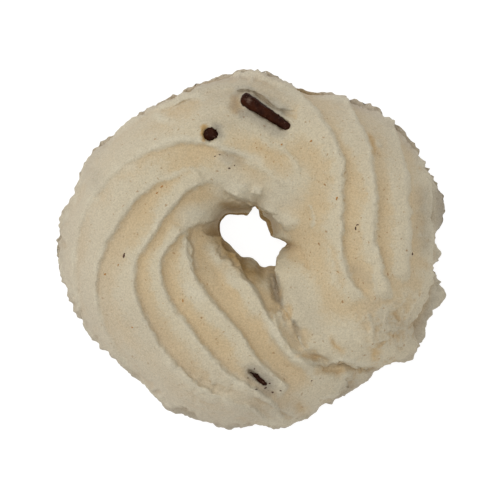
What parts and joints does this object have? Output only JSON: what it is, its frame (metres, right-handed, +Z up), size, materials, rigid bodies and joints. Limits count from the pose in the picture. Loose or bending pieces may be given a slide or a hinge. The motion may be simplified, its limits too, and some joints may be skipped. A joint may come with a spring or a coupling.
{
  "type": "piped butter cookie",
  "caption": "Pale ring-shaped piped butter cookie with swirled ridges, an off-round centre hole, overlapping ends and a few baked-in chocolate strands.",
  "frame": {"origin": "on the flat base, under the middle of the outline seen from above", "axes": "+Z up out of the flat base; +X along the longest way across, with the lapped end at +X -Y; +Y towards the side with the long chocolate strand"},
  "size_m": [0.0517, 0.0479, 0.0141],
  "materials": {
    "dough": "dry matt baked crumb"
  },
  "bodies": {
    "root": {"cookie": "dough"}
  },
  "joints": []
}
